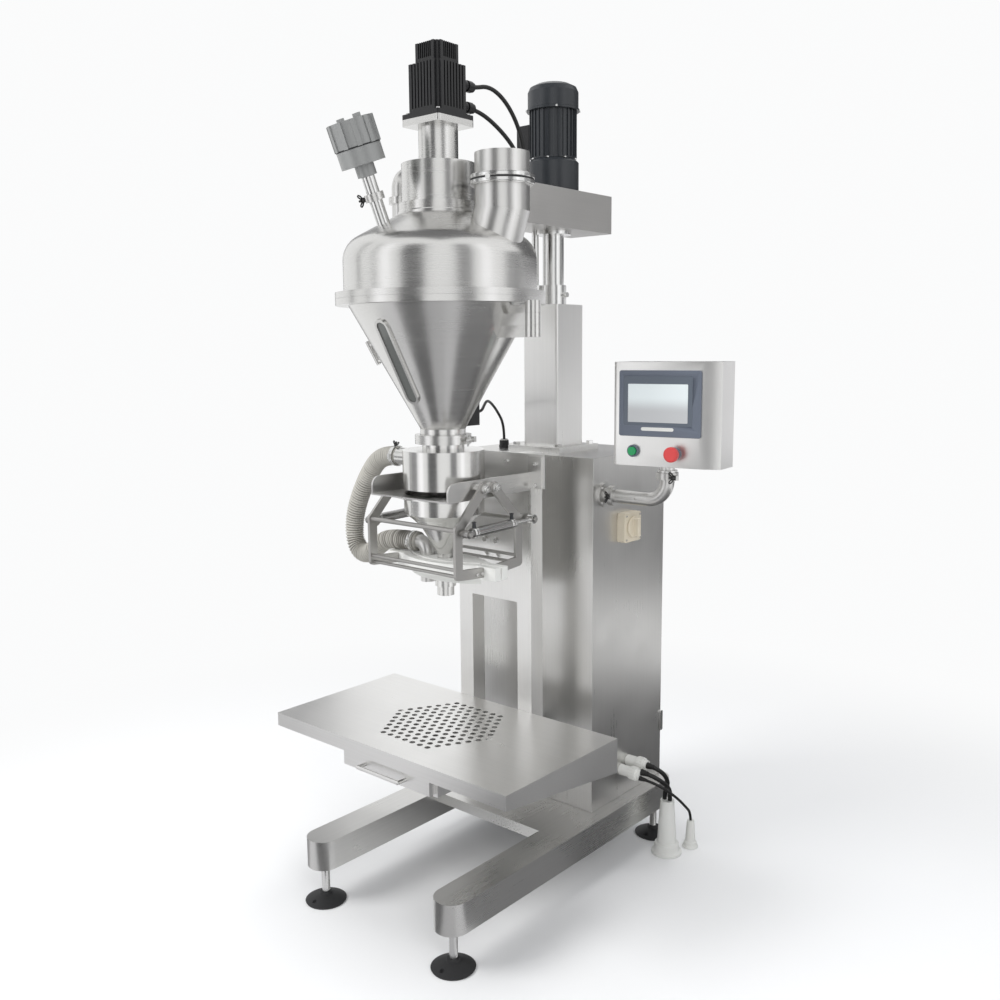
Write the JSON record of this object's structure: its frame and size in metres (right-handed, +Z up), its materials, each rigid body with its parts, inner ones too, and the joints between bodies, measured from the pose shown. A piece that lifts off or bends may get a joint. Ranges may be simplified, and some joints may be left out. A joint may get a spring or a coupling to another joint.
{
  "type": "auger powder filler",
  "caption": "Auger powder filling machine: split cone hopper on a lifting arm, servo-driven auger, bag clamp with pivoting jaws, weighing platform, drawer and swivelling operator panel.",
  "frame": {"origin": "floor point under the middle of the machine's bounding box", "axes": "+X to the operator's right, +Y to the rear, +Z up; the operator faces the machine from -Y"},
  "size_m": [1.0418, 1.0262, 2.254],
  "materials": {
    "stainless": "brushed stainless sheet",
    "cabinet_steel": "brushed stainless sheet",
    "polished": "ground and polished bar",
    "cast_aluminium": "cast, lightly blasted",
    "motor_paint": "charcoal paint",
    "black_anodised": "black anodised",
    "white_plastic": "machined white plastic",
    "black_plastic": "moulded black",
    "rubber": "black rubber",
    "beige_hose": "ribbed hose",
    "beige_plastic": "moulded beige",
    "green_plastic": "moulded green",
    "red_plastic": "moulded red",
    "sight_glass": "clear glass",
    "gear": "control gear cases",
    "black_cable": "cable sheath"
  },
  "bodies": {
    "base": {"base_frame": "stainless", "foot_pads": "rubber", "foot_spindles": "polished", "cabinet_shell": "cabinet_steel", "control_gear": "gear", "column": "stainless", "column_bolts": "polished", "column_collar": "polished", "lift_nut_post": "polished", "platform": "stainless", "weigh_frame": "stainless", "load_cell": "cast_aluminium", "clamp_mount_plate": "stainless", "clamp_frame": "stainless", "funnel_bowl": "stainless", "outlet_nozzle": "stainless", "spout_block": "white_plastic", "suction_elbow": "stainless", "panel_pipe": "stainless", "switch_base": "beige_plastic", "cable_glands": "white_plastic", "power_cords": "black_cable", "power_plugs": "white_plastic"},
    "head": {"lift_arm": "stainless", "guide_tubes": "polished", "lift_gear_motor": "motor_paint", "hopper_lid": "stainless", "hopper_neck": "stainless", "servo_motor": "black_anodised", "auger_bearing": "polished", "hopper_rear_shell": "stainless", "pipe_clamps": "stainless", "dust_chamber": "stainless", "fill_tube": "stainless", "inlet_pipe": "stainless", "level_sensor": "cast_aluminium", "vent_elbow": "stainless", "vibrator": "black_plastic", "dust_hose": "beige_hose", "head_cables": "black_cable", "vibrator_cable": "black_cable"},
    "lift_screw": {"lift_screw": "polished"},
    "auger": {"auger_screw": "stainless", "agitator": "stainless"},
    "hopper_door": {"hopper_door": "stainless", "sight_glass": "sight_glass"},
    "drawer": {"dust_drawer": "stainless"},
    "panel": {"panel_housing": "stainless", "panel_display": "black_plastic"},
    "start_button": {"start_button": "green_plastic"},
    "stop_button": {"stop_button": "red_plastic"},
    "switch_knob": {"switch_knob": "beige_plastic"},
    "rear_door": {"rear_door": "cabinet_steel"},
    "rear_door_latch": {"rear_door_latch": "polished"},
    "front_jaw": {"front_jaw": "stainless", "front_grip_bar": "white_plastic"},
    "rear_jaw": {"rear_jaw": "stainless", "rear_grip_bar": "white_plastic"},
    "cylinder_barrels": {"cylinder_barrels": "cast_aluminium"},
    "cylinder_rods": {"cylinder_rods": "polished"}
  },
  "joints": [
    {"name": "head_lift", "type": "slide", "parent": "base", "child": "head", "axis": [0, 0, 1], "range_m": [0, 0.2], "deforming": ["dust_hose", "vibrator_cable"]},
    {"name": "screw_spin", "type": "hinge", "parent": "head", "child": "lift_screw", "pos_m": [-0.0984, 0.2605, 1.6], "axis": [0, 0, 1], "range_deg": [0, 3600]},
    {"name": "auger_spin", "type": "hinge", "parent": "head", "child": "auger", "pos_m": [-0.0984, -0.2095, 1.5], "axis": [0, 0, 1], "continuous": true},
    {"name": "hopper_door_hinge", "type": "hinge", "parent": "head", "child": "hopper_door", "pos_m": [0.2056, -0.2095, 1.579], "axis": [0, 0, 1], "range_deg": [0, 110]},
    {"name": "drawer_slide", "type": "slide", "parent": "base", "child": "drawer", "axis": [0, -1, 0], "range_m": [0, 0.25]},
    {"name": "panel_swivel", "type": "hinge", "parent": "base", "child": "panel", "pos_m": [0.3476, 0.1755, 1.184], "axis": [0, 0, 1], "range_deg": [-60, 60]},
    {"name": "start_press", "type": "slide", "parent": "panel", "child": "start_button", "axis": [-0.1305, 0.9914, 0], "range_m": [0, 0.004], "stiffness_N_per_m": 800},
    {"name": "stop_press", "type": "slide", "parent": "panel", "child": "stop_button", "axis": [-0.1305, 0.9914, 0], "range_m": [0, 0.004], "stiffness_N_per_m": 1200},
    {"name": "switch_turn", "type": "hinge", "parent": "base", "child": "switch_knob", "pos_m": [0.1726, 0.2805, 1.004], "axis": [1, 0, 0], "range_deg": [0, 90]},
    {"name": "rear_door_hinge", "type": "hinge", "parent": "base", "child": "rear_door", "pos_m": [-0.3494, 0.4775, 0.7], "axis": [0, 0, 1], "range_deg": [0, 110]},
    {"name": "latch_turn", "type": "hinge", "parent": "rear_door", "child": "rear_door_latch", "pos_m": [0.1416, 0.486, 0.338], "axis": [-1, 0, 0], "range_deg": [0, 90]},
    {"name": "front_jaw_pivot", "type": "hinge", "parent": "base", "child": "front_jaw", "pos_m": [-0.0984, -0.2305, 1.159], "axis": [-1, 0, 0], "range_deg": [0, 16]},
    {"name": "rear_jaw_pivot", "type": "hinge", "parent": "base", "child": "rear_jaw", "pos_m": [-0.0984, -0.1885, 1.159], "axis": [1, 0, 0], "range_deg": [0, 16]},
    {"name": "barrel_swing", "type": "hinge", "parent": "front_jaw", "child": "cylinder_barrels", "pos_m": [-0.0984, -0.3135, 1.057], "axis": [1, 0, 0], "range_deg": [0, 19]},
    {"name": "rod_slide", "type": "slide", "parent": "cylinder_barrels", "child": "cylinder_rods", "axis": [0, 0.9997, 0.0237], "range_m": [0, 0.049]}
  ],
  "couplings": [
    {"joint": "screw_spin", "follows": "head_lift", "rad_per_m": 314.16},
    {"joint": "rear_jaw_pivot", "follows": "front_jaw_pivot", "ratio": 1},
    {"joint": "barrel_swing", "follows": "front_jaw_pivot", "ratio": 1.1363},
    {"joint": "rod_slide", "follows": "front_jaw_pivot", "m_per_rad": 0.1734}
  ]
}
